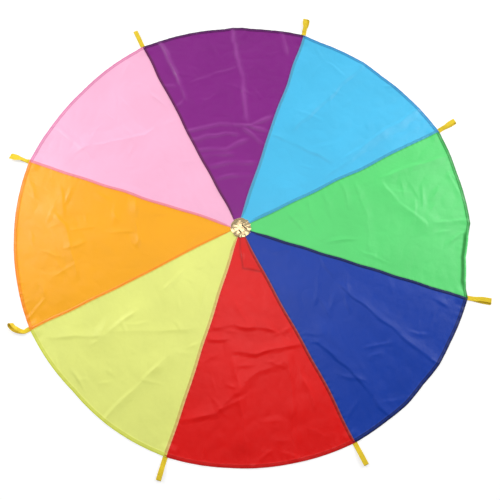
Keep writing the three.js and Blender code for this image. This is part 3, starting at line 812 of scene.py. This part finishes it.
class PARACHUTE_OT_gores(bpy.types.Operator):
    """Lay the eight gores: closed sheets with hems, laps, folds, creases and puckers"""

    bl_idname = "parachute.gores"
    bl_label = "Gores"

    EDGE = np.array([1.6, 3.0, 3.8, 7.2, 10.6, 11.4, 14, 18, 23, 29, 36]) * MM  # of columns from a seam
    EDGE_SHARE = 0.4  # the most of a narrow tip that those of one seam take
    FIELD_COLUMNS, FIELD_ROWS = 158, 246  # between them, and between the tip and the hem
    TIP_ROWS = np.arange(14, 48, 3.4) * MM  # from the crown
    FIELD_FROM, FIELD_TO = 48 * MM, -4.5 * MM  # from the crown, and from the hem's inside edge
    HEM_ROWS = np.array([-2, 0.5, 3, 7]) * MM  # from the hem's inside edge
    RIM_ROWS = np.array([-3, -0.8, 0]) * MM  # from the rim
    HEM_FULL = 3 * MM  # past the hem's inside edge, where it has its full thickness
    UNDERLAP = 4 * MM  # how far a gore runs on under its neighbour's lap
    SEAM_GAP = 0.1 * MM  # how far inside the seam it starts where it has the lap itself
    PLY_GAP = 0.1 * MM  # between a lap and the ply under it
    RIM_ROUND = 0.25  # share of the hem's thickness that each face loses at the rim

    # Millimetres past the hem's inside edge and how much of the hem's colour shows there, where it lies flat
    # and where it stands on end. Flat, the doubled cloth's colour carries painted shade: a line at the inside
    # edge and the darkest tone at the outer edge. On end, painted shade covers the band from 10 mm inside
    # that edge to
    # 9 mm past it.
    HEM_TONE_AND_SHADE = (-2, 0.5, 3, 7, 11), (0, 0.8, 0.5, 0.6, 1)
    CURL_PAINTED_SHADE = (-10, -6, 4, 9), (0, 0.85, 0.85, 0)
    # The same for millimetres from a seam: the lap's colour on a lap, painted shade in the hem's colour
    # beside a neighbour's lap
    LAP_TONE = (11, 14), (1, 0)
    BESIDE_LAP_PAINTED_SHADE = (3, 7), (0.25, 0)
    LAP_EDGE = 3.4 * MM  # width of the lap's folded edge, which has painted light and shade in its colour
    TUCK_TONE = 0.18  # how much of the hem's colour shows in a tuck

    def squeezed(self, r):
        """How much closer together the columns beside a seam lie, where the gore is narrow."""
        return np.minimum(1, self.EDGE_SHARE * r * SECTOR / self.EDGE[-1])

    def angles(self, k, r):
        """The columns of gore k, as angles from +X, at distances r from the crown."""
        squeeze = self.squeezed(r)[:, None]
        ends = (self.SEAM_GAP if lapped else -self.UNDERLAP for lapped in lap_sides(k))
        start, stop = (np.arcsin(np.append(end, self.EDGE) * squeeze / r[:, None]) for end in ends)
        stop = SECTOR - stop[:, ::-1]
        share = (np.arange(self.FIELD_COLUMNS) + 1) / (self.FIELD_COLUMNS + 1)
        field = start[:, -1:] + (stop[:, :1] - start[:, -1:]) * share[None]
        return k * SECTOR + np.concatenate([start, field, stop], axis=1)

    def rows(self, cloth):
        """The rows' distances from the crown."""
        field = np.linspace(self.FIELD_FROM, cloth.hem + self.FIELD_TO, self.FIELD_ROWS)
        hem, rim = cloth.hem + self.HEM_ROWS, cloth.size.radius + self.RIM_ROWS
        return np.concatenate([self.TIP_ROWS, field, hem, rim])

    def on_lap(self, cloth, k, reach, angle):
        """Whether each place of gore k lies on a lap."""
        width = cloth.size.lap_width * self.squeezed(reach)
        sides = zip(cloth.seam_distances(k, reach, angle), lap_sides(k))
        return np.any([(beside < width) & lapped for beside, lapped in sides], axis=0)

    def faces(self, cloth, k, reach, angle):
        """Heights of the cloth's upper and lower faces over the underside that Cloth gives."""
        size = cloth.size
        lap = self.on_lap(cloth, k, reach, angle)
        sides = zip(cloth.seam_distances(k, reach, angle), lap_sides(k))
        under_lap = np.any([(beside < 0) & (not lapped) for beside, lapped in sides], axis=0)
        on_hem = smooth(reach, cloth.hem + self.FIELD_TO, cloth.hem + self.HEM_FULL)
        thick = np.where(lap, size.doubled, size.cloth + (size.doubled - size.cloth) * on_hem)
        thick = np.where(under_lap, size.cloth, thick) + size.cloth * cloth.tucked(k, reach, angle)[0]
        rounded = np.where(reach >= size.radius - 0.1 * MM, self.RIM_ROUND * size.doubled, 0)
        return thick - rounded, np.where(lap, size.cloth + self.PLY_GAP, 0) + rounded

    def tones(self, cloth, k, reach, angle):
        """How much of the hem's, the lap's and the lap edge's colours shows at each place of gore k: doubled
        cloth, with painted shade in the hem's colour and painted light and shade in the lap edge's.
        """
        past_hem = (reach - cloth.hem) / MM
        on_end = cloth.curled(angle)
        # the doubled hem's colour with painted shade along its two edges; where the hem stands on end,
        # painted shade
        hem = np.interp(past_hem, *self.HEM_TONE_AND_SHADE) * (1 - on_end)
        hem += np.interp(past_hem, *self.CURL_PAINTED_SHADE) * on_end
        tuck, tuck_painted_shade = cloth.tucked(k, reach, angle)
        # the tuck's doubled cloth, and painted shade at its folded edge
        hem = np.maximum(hem, np.maximum(self.TUCK_TONE * tuck, tuck_painted_shade))
        lap = np.zeros_like(reach)
        squeeze = self.squeezed(reach)
        seams = cloth.seam_distances(k, reach, angle)
        for beside, lapped in zip(seams, lap_sides(k)):
            if lapped:
                lap = np.maximum(lap, np.interp(beside / squeeze / MM, *self.LAP_TONE))
            else:
                # painted shade beside the neighbour's lap, in the hem's colour
                hem = np.maximum(hem, np.interp(beside / squeeze / MM, *self.BESIDE_LAP_PAINTED_SHADE))
        # the lap's folded edge, whose colour carries painted light and shade
        edge = self.on_lap(cloth, k, reach, angle) & (seams[1] < self.LAP_EDGE * squeeze)
        return {"hem": hem, "lap": lap, "edge": edge * 1.0}

    def execute(self, context):
        cloth = Cloth()
        r = self.rows(cloth)
        for k, gore in enumerate(GORES):
            angle = self.angles(k, r)
            reach = np.repeat(r[:, None], angle.shape[1], 1)
            lower, pale = cloth.lay(k, reach, angle)
            upper = lower.copy()
            over, under = self.faces(cloth, k, reach, angle)
            upper[..., 2] += over
            lower[..., 2] += under
            from_middle = angle - (k + 0.5) * SECTOR
            uv = np.stack([reach * np.cos(from_middle), reach * np.sin(from_middle)], -1)
            # pale is the painted highlight along the crests
            tones = self.tones(cloth, k, reach, angle) | {"pale": pale * gore.pale}
            piece = closed_sheet(f"gore_cloth_{gore.name}", upper, lower, uv, tones)
            put_on(piece, taffeta(gore), f"cloth_{gore.name}", f"gore_{gore.name}")
            carry(piece, half_of_gore(k), half_of_gore(k) == NEAR)
        return {"FINISHED"}


class PARACHUTE_OT_hem_stitches(bpy.types.Operator):
    """Sew the row of stitches along each gore's hem"""

    bl_idname = "parachute.hem_stitches"
    bl_label = "Hem stitches"

    INSET = 2 * MM  # of the row from the hem's inside edge, and of its ends from the seams
    POINTS = 400

    def execute(self, context):
        cloth = Cloth()
        pitch = cloth.size.stitch_pitch
        r = cloth.hem + self.INSET
        end = math.asin(self.INSET / r)
        for k, gore in enumerate(GORES):
            angle = np.linspace(k * SECTOR + end, (k + 1) * SECTOR - end, self.POINTS)
            line = cloth.lay(k, np.full_like(angle, r), angle)[0]
            line[:, 2] += cloth.size.doubled + STITCH_SEAT
            piece = sew(f"hem_stitches_{gore.name}", f"hem_thread_{gore.name}", f"{gore.name} hem", gore.hem,
                        *along_line(line, pitch), STITCH_SHARE * pitch)
            carry(piece, half_of_gore(k), half_of_gore(k) == NEAR)
        return {"FINISHED"}


class PARACHUTE_OT_seam_stitches(bpy.types.Operator):
    """Sew the two rows of stitches along each felled seam"""

    bl_idname = "parachute.seam_stitches"
    bl_label = "Seam stitches"

    INSET = 1.5 * MM  # of the rows from the lap's edges
    START, END_GAP = 63 * MM, 3 * MM  # from the crown, and short of the hem
    POINTS = 420

    def execute(self, context):
        cloth = Cloth()
        size = cloth.size
        r = np.linspace(self.START, cloth.hem - self.END_GAP, self.POINTS)
        for k, gore in enumerate(GORES):
            on = k if gore.side == 1 else (k - 1) % len(GORES)
            seam = k * SECTOR if gore.side == 1 or k else 2 * math.pi
            rows = []
            for inset in (self.INSET, size.lap_width - self.INSET):
                line = cloth.lay(on, r, seam + gore.side * np.arcsin(inset / r))[0]
                line[:, 2] += size.doubled + STITCH_SEAT
                rows.append(along_line(line, size.stitch_pitch))
            places, headings = (np.concatenate(parts) for parts in zip(*rows))
            piece = sew(f"seam_stitches_{k + 1}", f"seam_thread_{k + 1}", f"seam {k + 1}", gore.thread,
                        places, headings, STITCH_SHARE * size.stitch_pitch)
            carry(piece, half_of_seam(k), False)
        return {"FINISHED"}


class PARACHUTE_OT_handles(bpy.types.Operator):
    """Make the eight straps, each one length of webbing with both ends under the hem and a loop outside it"""

    bl_idname = "parachute.handles"
    bl_label = "Handles"

    PLY_GAP = 0.4 * MM  # between the two plies under the hem
    ROOT_GAP = 0.3 * MM  # from the rim to where a strap is free
    PARTING, PARTED = 0.4, 0.65  # shares of the loop's length at which its plies part and have parted
    YAW_RUN, ROOT_RUN = 12 * MM, 14 * MM  # over which a strap turns aside and on to its edge at the hem
    # Shares of its length from which it slides and from which it turns to its end, and where both are done
    SLIDE_FROM, TIP_FROM, TIP_TO = 0.15, 0.2, 0.75
    ROUTE_STEPS = 199
    BEND = 9 * MM  # over which a strap would bend at the hem when its loop is lifted

    def line(self, size, reach, eye):
        """The strap's middle line from the side: out along the upper ply and back along the lower one."""
        spread = eye + size.thickness
        bend = reach - (spread + size.thickness) / 2
        ply = size.thickness + self.PLY_GAP
        parting, parted = self.PARTING * bend, self.PARTED * bend
        t = np.linspace(0, 1, 26)[:, None]
        places = ((0, ply), (parting, ply), (parting, spread), (parted, spread))
        a, b, c, d = (np.array(place) for place in places)
        opening = (1 - t) ** 3 * a + 3 * (1 - t) ** 2 * t * b + 3 * (1 - t) * t**2 * c + t**3 * d
        upper = np.stack([np.linspace(parted, bend, 14)[1:], np.full(13, spread)], -1)
        turn = np.linspace(math.pi / 2, -math.pi / 2, 18)[1:]
        end = np.stack([bend + spread / 2 * np.cos(turn), spread / 2 + spread / 2 * np.sin(turn)], -1)
        lower = np.stack([np.linspace(bend, 0, 30)[1:], np.zeros(29)], -1)
        sewn = np.linspace(-size.sewn, 0, 12)[:-1]
        under = np.stack([sewn, np.full_like(sewn, ply)], -1)
        back = np.stack([sewn[::-1], np.zeros_like(sewn)], -1)
        return np.concatenate([under, opening, upper, end, lower, back])

    def placed(self, size, loop):
        """A function that says where a point (out, across, up) of the flat strap lies in the seam's frame."""
        reach, eye = loop.reach * MM, loop.eye * MM
        root, tip, yaw, bend = (math.radians(turn) for turn in (loop.root, loop.tip, loop.yaw, loop.bend))
        slide = loop.slide * MM / (eye + size.thickness)
        middle = eye / 2 + size.thickness
        route = np.linspace(0, reach, self.ROUTE_STEPS + 1)
        heading = yaw * smooth(route, 0, self.YAW_RUN) - bend * (route / reach) ** 2
        step = reach / self.ROUTE_STEPS
        route_x = np.concatenate([[0], np.cumsum(np.cos(heading[:-1])) * step])
        route_y = np.concatenate([[0], np.cumsum(np.sin(heading[:-1])) * step])

        def place(points):
            out, across, up = points[..., 0], points[..., 1], points[..., 2]
            free = np.maximum(out, 0)
            to_tip = smooth(free, self.TIP_FROM * reach, self.TIP_TO * reach)
            turn = root * smooth(free, 0, self.ROOT_RUN) + (tip - root) * to_tip
            rise = size.width / 2 * np.abs(np.sin(turn)) + middle * np.cos(turn)
            slid = slide * smooth(free, self.SLIDE_FROM * reach, self.TIP_TO * reach)
            aside = across * np.cos(turn) + (up - middle) * (slid - np.sin(turn))
            z = rise + across * np.sin(turn) + (up - middle) * np.cos(turn)
            ahead = np.interp(free, route, heading)
            x = np.where(out > 0, np.interp(free, route, route_x), out) - aside * np.sin(ahead)
            y = np.interp(free, route, route_y) + aside * np.cos(ahead)
            return np.stack([x, y, z], -1)

        return place

    def execute(self, context):
        size = context.scene.parachute_handles
        radius = context.scene.parachute_canopy.radius
        finish = polyester_webbing(tuple(size.colour))
        step = 0.1 * MM
        for k, loop in enumerate(LOOPS):
            flat = self.line(size, loop.reach * MM, loop.eye * MM)
            place = self.placed(size, loop)
            ahead = unit(np.gradient(flat, axis=0))
            level = np.zeros(len(flat))
            lift = np.stack([-ahead[:, 1], level, ahead[:, 0]], -1)
            base = np.stack([flat[:, 0], level, flat[:, 1] + size.thickness / 2], -1)
            centres = place(base)
            sides = unit(place(base + np.array([0, step, 0])) - centres)
            lifts = unit(place(base + step * lift) - centres)
            c, s = math.cos(k * SECTOR), math.sin(k * SECTOR)
            turn = np.array([[c, -s, 0], [s, c, 0], [0, 0, 1]]).T
            root = np.array([radius + self.ROOT_GAP, loop.at * MM, 0])
            piece = swept(f"strap_{k + 1}", (centres + root) @ turn, sides @ turn, lifts @ turn,
                          size.width, size.thickness)
            put_on(piece, finish, "webbing", f"handle_loop_{k + 1}", f"handle_tail_{k + 1}")
            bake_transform(piece)
        return {"FINISHED"}


class PARACHUTE_OT_tacks(bpy.types.Operator):
    """Sew the dense bar of stitches that holds each strap under the hem"""

    bl_idname = "parachute.tacks"
    bl_label = "Bar tacks"

    LENGTH, WIDTH, COUNT = 17 * MM, 3 * MM, 22  # of a bar, and how many stitches it has
    INSET = 6 * MM  # from the rim
    SLANT = 0.28  # of each stitch to one side and the other in turn
    OVERLONG = 1.15  # of a slanting stitch to the bar's width
    STITCH_WIDTH = 1.1 * MM
    SEAT = 0.35 * MM  # over the hem

    def execute(self, context):
        cloth = Cloth()
        r = cloth.size.radius - self.INSET
        last = len(GORES) - 1
        for k, gore in enumerate(GORES):
            offset = np.linspace(-self.LENGTH / 2, self.LENGTH / 2, self.COUNT)
            angle = k * SECTOR + offset / r
            on = np.where(offset >= 0, k, (k - 1) % len(GORES))
            turned = np.where((on == last) & (k == 0), angle + 2 * math.pi, angle)
            places = np.stack([cloth.lay(int(g), np.array(r), np.array(a))[0] for g, a in zip(on, turned)])
            places[:, 2] = places[:, 2].max() + cloth.size.doubled + self.SEAT
            level = np.zeros_like(angle)
            out = np.stack([np.cos(angle), np.sin(angle), level], -1)
            sideways = np.stack([-np.sin(angle), np.cos(angle), level], -1)
            slant = np.where(np.arange(self.COUNT) % 2, self.SLANT, -self.SLANT)[:, None]
            piece = sew(f"bar_tack_{k + 1}", f"handle_tack_{k + 1}", f"tack {k + 1}", gore.hem,
                        places, unit(out + slant * sideways), self.OVERLONG * self.WIDTH, self.STITCH_WIDTH)
            carry(piece, half_of_seam(k), k in (0, FOLD_SEAM))
        return {"FINISHED"}


class PARACHUTE_OT_crown(bpy.types.Operator):
    """Make the crown: a gathered, crinkled gold cap with its stitches, and the plain backing under it"""

    bl_idname = "parachute.crown"
    bl_label = "Crown"

    BOTTOM = 2.2 * MM  # of the cap over the ground
    EDGE = 1.4 * MM  # thickness of the cap at its edge
    CLOTH = 0.5 * MM  # and elsewhere
    TURN_UNDER = 0.2 * MM  # of the edge's underside over the bottom
    PLEAT = 0.6 * MM  # height of the gathers at the edge
    SHARES = np.concatenate([np.linspace(0.03, 0.94, 70), [0.97, 0.99, 1.0]])  # of the cap's rings
    TURNED = 0.98  # share from which its edge is turned under
    AROUND = 264  # points in a ring
    OFF_CENTRE, TOWARDS = 2.5 * MM, math.radians(153)  # the cap is cut a little to one side
    # Sharp folds: millimetres from the middle and degrees from +X, end to end
    TUCKS = [((10, 38), (24, 316)), ((16, 202), (24, 240))]
    TUCK_HALF, TUCK_DEPTH = 3.4 * MM, 1.8 * MM
    TUCK_TONE = 0.9  # how dark the painted shade in them is
    FACET, KNOTS = 17 * MM, 16  # size of the crinkles' facets, and after how many they repeat
    WARP, WARP_WAVE = 5 * MM, 30 * MM  # how far their net is pulled about, and over what length
    CUT = 1.06  # width of the flat cut to that of the finished cap
    AREA = 1.04  # the radius that gives the cut's area, to the cap's
    ROW_SHARE, ROW_PITCH, ROW_SEAT = 0.88, 4 * MM, 0.15 * MM  # of the row of stitches
    ROW_COLOUR = "C8A860"
    BACKING_RADIUS, BACKING_CLOTH = 43 * MM, 0.4 * MM
    BACKING_RINGS, BACKING_STEP = 19, 2.2 * MM  # of its faces, so that it can bend

    def gather(self, size, angle):
        """1 on the scallops of the cap's edge and 0 between them."""
        return 0.5 + 0.5 * np.cos(size.gathers * angle + 1.1 * np.sin(angle + 1) + 0.8 * np.sin(3 * angle))

    def edge(self, size, angle):
        """Distance of the cap's edge from the crown."""
        off_centre = self.OFF_CENTRE * np.cos(angle - self.TOWARDS)
        scallop = (2.2 + 1.2 * np.sin(2 * angle + 1)) * MM * (1 - self.gather(size, angle)) ** 1.4
        return size.radius + off_centre - scallop

    def facets(self, x, y):
        """The flat facets of crushed cloth: triangles of an uneven net whose knots are 0 to 1 high."""
        knots = np.random.default_rng(8).uniform(0, 1, (self.KNOTS, self.KNOTS))
        u = (x + self.WARP * uneven(x, y, self.WARP_WAVE, seed=41)) / self.FACET
        v = (y + self.WARP * uneven(x, y, self.WARP_WAVE, seed=42)) / self.FACET
        i, j = np.floor(u).astype(int), np.floor(v).astype(int)
        u, v = u - i, v - j
        corners = ((0, 0), (1, 0), (0, 1), (1, 1))
        a, b, c, d = (knots[(i + m) % self.KNOTS, (j + n) % self.KNOTS] for m, n in corners)
        return np.where(u + v < 1, a + (b - a) * u + (c - a) * v, d + (c - d) * (1 - u) + (b - d) * (1 - v))

    def tucks(self, x, y):
        """1 in the middle of a sharp fold and 0 away from it."""
        away = [from_line(x, y, line)[0] / self.TUCK_HALF for line in self.TUCKS]
        return np.max([np.clip(1 - a**2, 0, 1) for a in away], axis=0)

    def top(self, size, share, angle):
        """Height of the cap's upper face."""
        x, y = share * size.radius * np.cos(angle), share * size.radius * np.sin(angle)
        pleat = self.PLEAT * share**2 * self.gather(size, angle)
        rise = size.dome * (1 - share**2) + size.crush * (self.facets(x, y) - 0.4) * (1 - 0.6 * share**4)
        return self.BOTTOM + self.EDGE + rise + pleat - self.TUCK_DEPTH * self.tucks(x, y)

    def cap(self, size, angle):
        shares, angles = np.meshgrid(self.SHARES, angle[:-1], indexing="ij")
        spread = shares * self.edge(size, angles)
        z = self.top(size, shares, angles)
        points = np.stack([spread * np.cos(angles), spread * np.sin(angles), z], -1)
        under = points[::-1].copy()
        turned = shares[::-1] > self.TURNED
        under[..., 2] = np.where(turned, self.BOTTOM + self.TURN_UNDER, under[..., 2] - self.CLOTH)
        under[..., 2] = np.maximum(under[..., 2], self.BOTTOM)
        rings = np.concatenate([points, under])
        index = np.arange(rings[..., 0].size).reshape(rings.shape[:2])
        beside = np.roll(index, -1, axis=1)
        quads = np.stack([index[:-1], index[1:], beside[1:], beside[:-1]], -1).reshape(-1, 4).tolist()
        ends = [index[0].tolist(), index[-1][::-1].tolist()]
        # painted shade along the sharp folds
        deep = self.TUCK_TONE * smooth(self.tucks(rings[..., 0], rings[..., 1]), 0.3, 0.8)
        piece = mesh_object("crown_cap_cloth", rings.reshape(-1, 3).tolist(), quads + ends,
                            rings[..., :2].reshape(-1, 2), {"crease": deep})
        put_on(piece, gold_lame(tuple(size.colour)), "gold_cloth", "crown_cap")
        carry(piece, FAR, True)

    def row(self, size, angle):
        spread = self.ROW_SHARE * self.edge(size, angle)
        height = self.top(size, np.full_like(angle, self.ROW_SHARE), angle) + self.ROW_SEAT
        line = np.stack([spread * np.cos(angle), spread * np.sin(angle), height], -1)
        piece = sew("crown_stitches", "crown_thread", "crown", self.ROW_COLOUR,
                    *along_line(line, self.ROW_PITCH), STITCH_SHARE * self.ROW_PITCH)
        carry(piece, FAR, True)

    def backing(self):
        bpy.ops.object.select_all(action="DESELECT")
        bpy.ops.mesh.primitive_circle_add(vertices=96, radius=self.BACKING_RADIUS, fill_type="NGON",
                                          location=(0, 0, 0))
        piece = bpy.context.object
        piece.name = piece.data.name = "crown_backing_cloth"
        bpy.ops.object.mode_set(mode="EDIT")
        bpy.ops.mesh.select_all(action="SELECT")
        for _ in range(self.BACKING_RINGS):
            bpy.ops.mesh.inset(thickness=self.BACKING_STEP, depth=0)
        bpy.ops.mesh.select_all(action="SELECT")
        bpy.ops.mesh.extrude_region_move(TRANSFORM_OT_translate={"value": (0, 0, self.BACKING_CLOTH)})
        bpy.ops.mesh.select_all(action="SELECT")
        bpy.ops.mesh.normals_make_consistent(inside=False)
        bpy.ops.object.mode_set(mode="OBJECT")
        sharpen(piece, 40)
        put_on(piece, backing_cloth(), "backing_cloth", "crown_backing")
        carry(piece, FAR, True)

    def execute(self, context):
        size = context.scene.parachute_crown
        angle = np.linspace(0, 2 * math.pi, self.AROUND + 1)
        self.cap(size, angle)
        self.row(size, angle)
        self.backing()
        return {"FINISHED"}


class PARACHUTE_OT_stage(bpy.types.Operator):
    """Set the pale floor, the soft lights and the camera"""

    bl_idname = "parachute.stage"
    bl_label = "Stage"

    TARGET = Vector((-12.35 * MM, -105.81 * MM, 0))  # that the camera looks at
    SENSOR = 36  # width of the camera's sensor, in millimetres
    FLOOR, FLOOR_DROP = 60, 0.4 * MM  # its width, and how far it lies under the canopy
    SIDE, BEHIND, HIGH = 2.2, 0.9, 1.8  # of the softboxes on either side: aside, beyond the crown and up
    OVER_BEHIND, OVER_HIGH = 0.15, 2.4  # of the one overhead
    WALL_TOP, CEILING_FROM = 0.55, 0.85  # sines of the elevations between which walls turn into ceiling
    LEAN = 0.9  # how much brighter the far wall is than the middle
    LAMP_SIZE = 1.2

    def floor_finish(self):
        """Matt white paper that stays white to the camera and keeps the canopy's soft shadow."""
        material, tree = new_finish("matt white paper")
        path = node(tree, "LightPath").outputs
        seen = node(tree, "Math", {0: path["Is Camera Ray"], 1: path["Is Glossy Ray"]}, operation="MAXIMUM")
        through = node(tree, "Math", {0: seen, 1: path["Is Transmission Ray"]}, operation="MAXIMUM")
        paper = node(tree, "BsdfDiffuse", {"Color": linear("EEEEEE")})
        dim = node(tree, "BsdfDiffuse", {"Color": linear("BCBCBC")})
        glow = node(tree, "Emission", {"Color": linear("FFFFFF"), "Strength": 0.62})
        bright = node(tree, "AddShader", {0: dim, 1: glow})
        both = node(tree, "MixShader", {0: through, 1: paper, 2: bright})
        node(tree, "OutputMaterial", {"Surface": both})
        return material

    def world(self, stage, away):
        """A dim ceiling over pale walls, brighter on the far side than behind the camera. The camera itself
        sees plain white."""
        world = bpy.data.worlds.new("studio")
        bpy.context.scene.world = world
        world.use_nodes = True
        tree = world.node_tree
        tree.nodes.clear()
        path = node(tree, "LightPath").outputs
        seen = node(tree, "Math", {0: path["Is Camera Ray"], 1: path["Is Transmission Ray"]},
                    operation="MAXIMUM")
        heading = node(tree, "TexCoord").outputs["Generated"]
        up = node(tree, "SeparateXYZ", {0: heading}).outputs["Z"]
        level = node(tree, "MapRange", {
            "Value": up, 1: self.WALL_TOP, 2: self.CEILING_FROM, 3: stage.walls, 4: stage.ceiling,
        }, interpolation_type="SMOOTHSTEP")
        far = node(tree, "VectorMath", {0: heading, 1: away}, operation="DOT_PRODUCT").outputs["Value"]
        lean = node(tree, "Math", {0: far, 1: self.LEAN, 2: 1.0}, operation="MULTIPLY_ADD")
        strength = node(tree, "Math", {0: level, 1: lean}, operation="MULTIPLY")
        light = node(tree, "Background", {"Color": (1, 1, 1, 1), "Strength": strength})
        white = node(tree, "Background", {"Color": (1, 1, 1, 1), "Strength": 1.0})
        both = node(tree, "MixShader", {0: seen, 1: light, 2: white})
        node(tree, "OutputWorld", {"Surface": both})

    def floor(self):
        bpy.ops.object.select_all(action="DESELECT")
        bpy.ops.mesh.primitive_plane_add(size=self.FLOOR, location=(0, 0, 0))
        floor = bpy.context.object
        floor.name = "floor"
        for vertex in floor.data.vertices:
            vertex.co.z = -self.FLOOR_DROP
        floor.data.materials.append(self.floor_finish())

    def aimed(self, name, data, place, towards):
        """A lamp or camera at a place, which looks along a direction."""
        made = bpy.data.objects.new(name, data)
        made.location = place
        made.rotation_mode = "QUATERNION"
        made.rotation_quaternion = towards.to_track_quat("-Z", "Y")
        bpy.context.scene.collection.objects.link(made)
        return made

    def execute(self, context):
        scene = context.scene
        stage = scene.parachute_stage
        scene.view_settings.view_transform = "Standard"
        self.floor()

        a, e = stage.azimuth, stage.elevation
        back = Vector((math.sin(a) * math.cos(e), -math.cos(a) * math.cos(e), math.sin(e)))
        right, away = Vector((math.cos(a), math.sin(a), 0)), Vector((-math.sin(a), math.cos(a), 0))
        self.world(stage, away)
        beside = away * self.BEHIND + Vector((0, 0, self.HIGH))
        overhead = away * self.OVER_BEHIND + Vector((0, 0, self.OVER_HIGH))
        for name, place, power in (
            ("left softbox", beside - right * self.SIDE, stage.softbox),
            ("right softbox", beside + right * self.SIDE, stage.softbox),
            ("overhead softbox", overhead, stage.overhead),
        ):
            lamp = bpy.data.lights.new(name, "AREA")
            lamp.energy, lamp.shape, lamp.size = power, "SQUARE", self.LAMP_SIZE
            self.aimed(name, lamp, place, -place)

        camera = bpy.data.cameras.new("camera")
        camera.sensor_width, camera.lens = self.SENSOR, stage.lens
        scene.camera = self.aimed("camera", camera, self.TARGET + back * stage.distance, -back)
        return {"FINISHED"}


class PARACHUTE_PT_panel(bpy.types.Panel):
    """Lists the sizes and the steps of the build"""

    bl_idname = "PARACHUTE_PT_panel"
    bl_label = "Play parachute"
    bl_space_type = "VIEW_3D"
    bl_region_type = "UI"
    bl_category = "Parachute"

    def draw(self, context):
        for group in GROUPS:
            box = self.layout.box()
            box.label(text=group.title())
            settings = getattr(context.scene, f"parachute_{group}")
            for name in settings.__annotations__:
                box.prop(settings, name)
        for operator in STEPS:
            self.layout.operator(operator.bl_idname)


GROUPS = {"canopy": CanopySizes, "handles": HandleSizes, "crown": CrownSizes, "stage": StageSettings}
STEPS = [PARACHUTE_OT_stage, PARACHUTE_OT_gores, PARACHUTE_OT_hem_stitches, PARACHUTE_OT_seam_stitches,
         PARACHUTE_OT_handles, PARACHUTE_OT_tacks, PARACHUTE_OT_crown]
CLASSES = [*GROUPS.values(), *STEPS, PARACHUTE_PT_panel]


def register():
    for cls in CLASSES:
        bpy.utils.register_class(cls)
    for name, group in GROUPS.items():
        setattr(bpy.types.Scene, f"parachute_{name}", PointerProperty(type=group))


def unregister():
    for name in GROUPS:
        delattr(bpy.types.Scene, f"parachute_{name}")
    for cls in reversed(CLASSES):
        bpy.utils.unregister_class(cls)


def main():
    register()
    for step in STEPS:
        family, name = step.bl_idname.split(".")
        getattr(getattr(bpy.ops, family), name)()


if __name__ == "__main__":
    main()
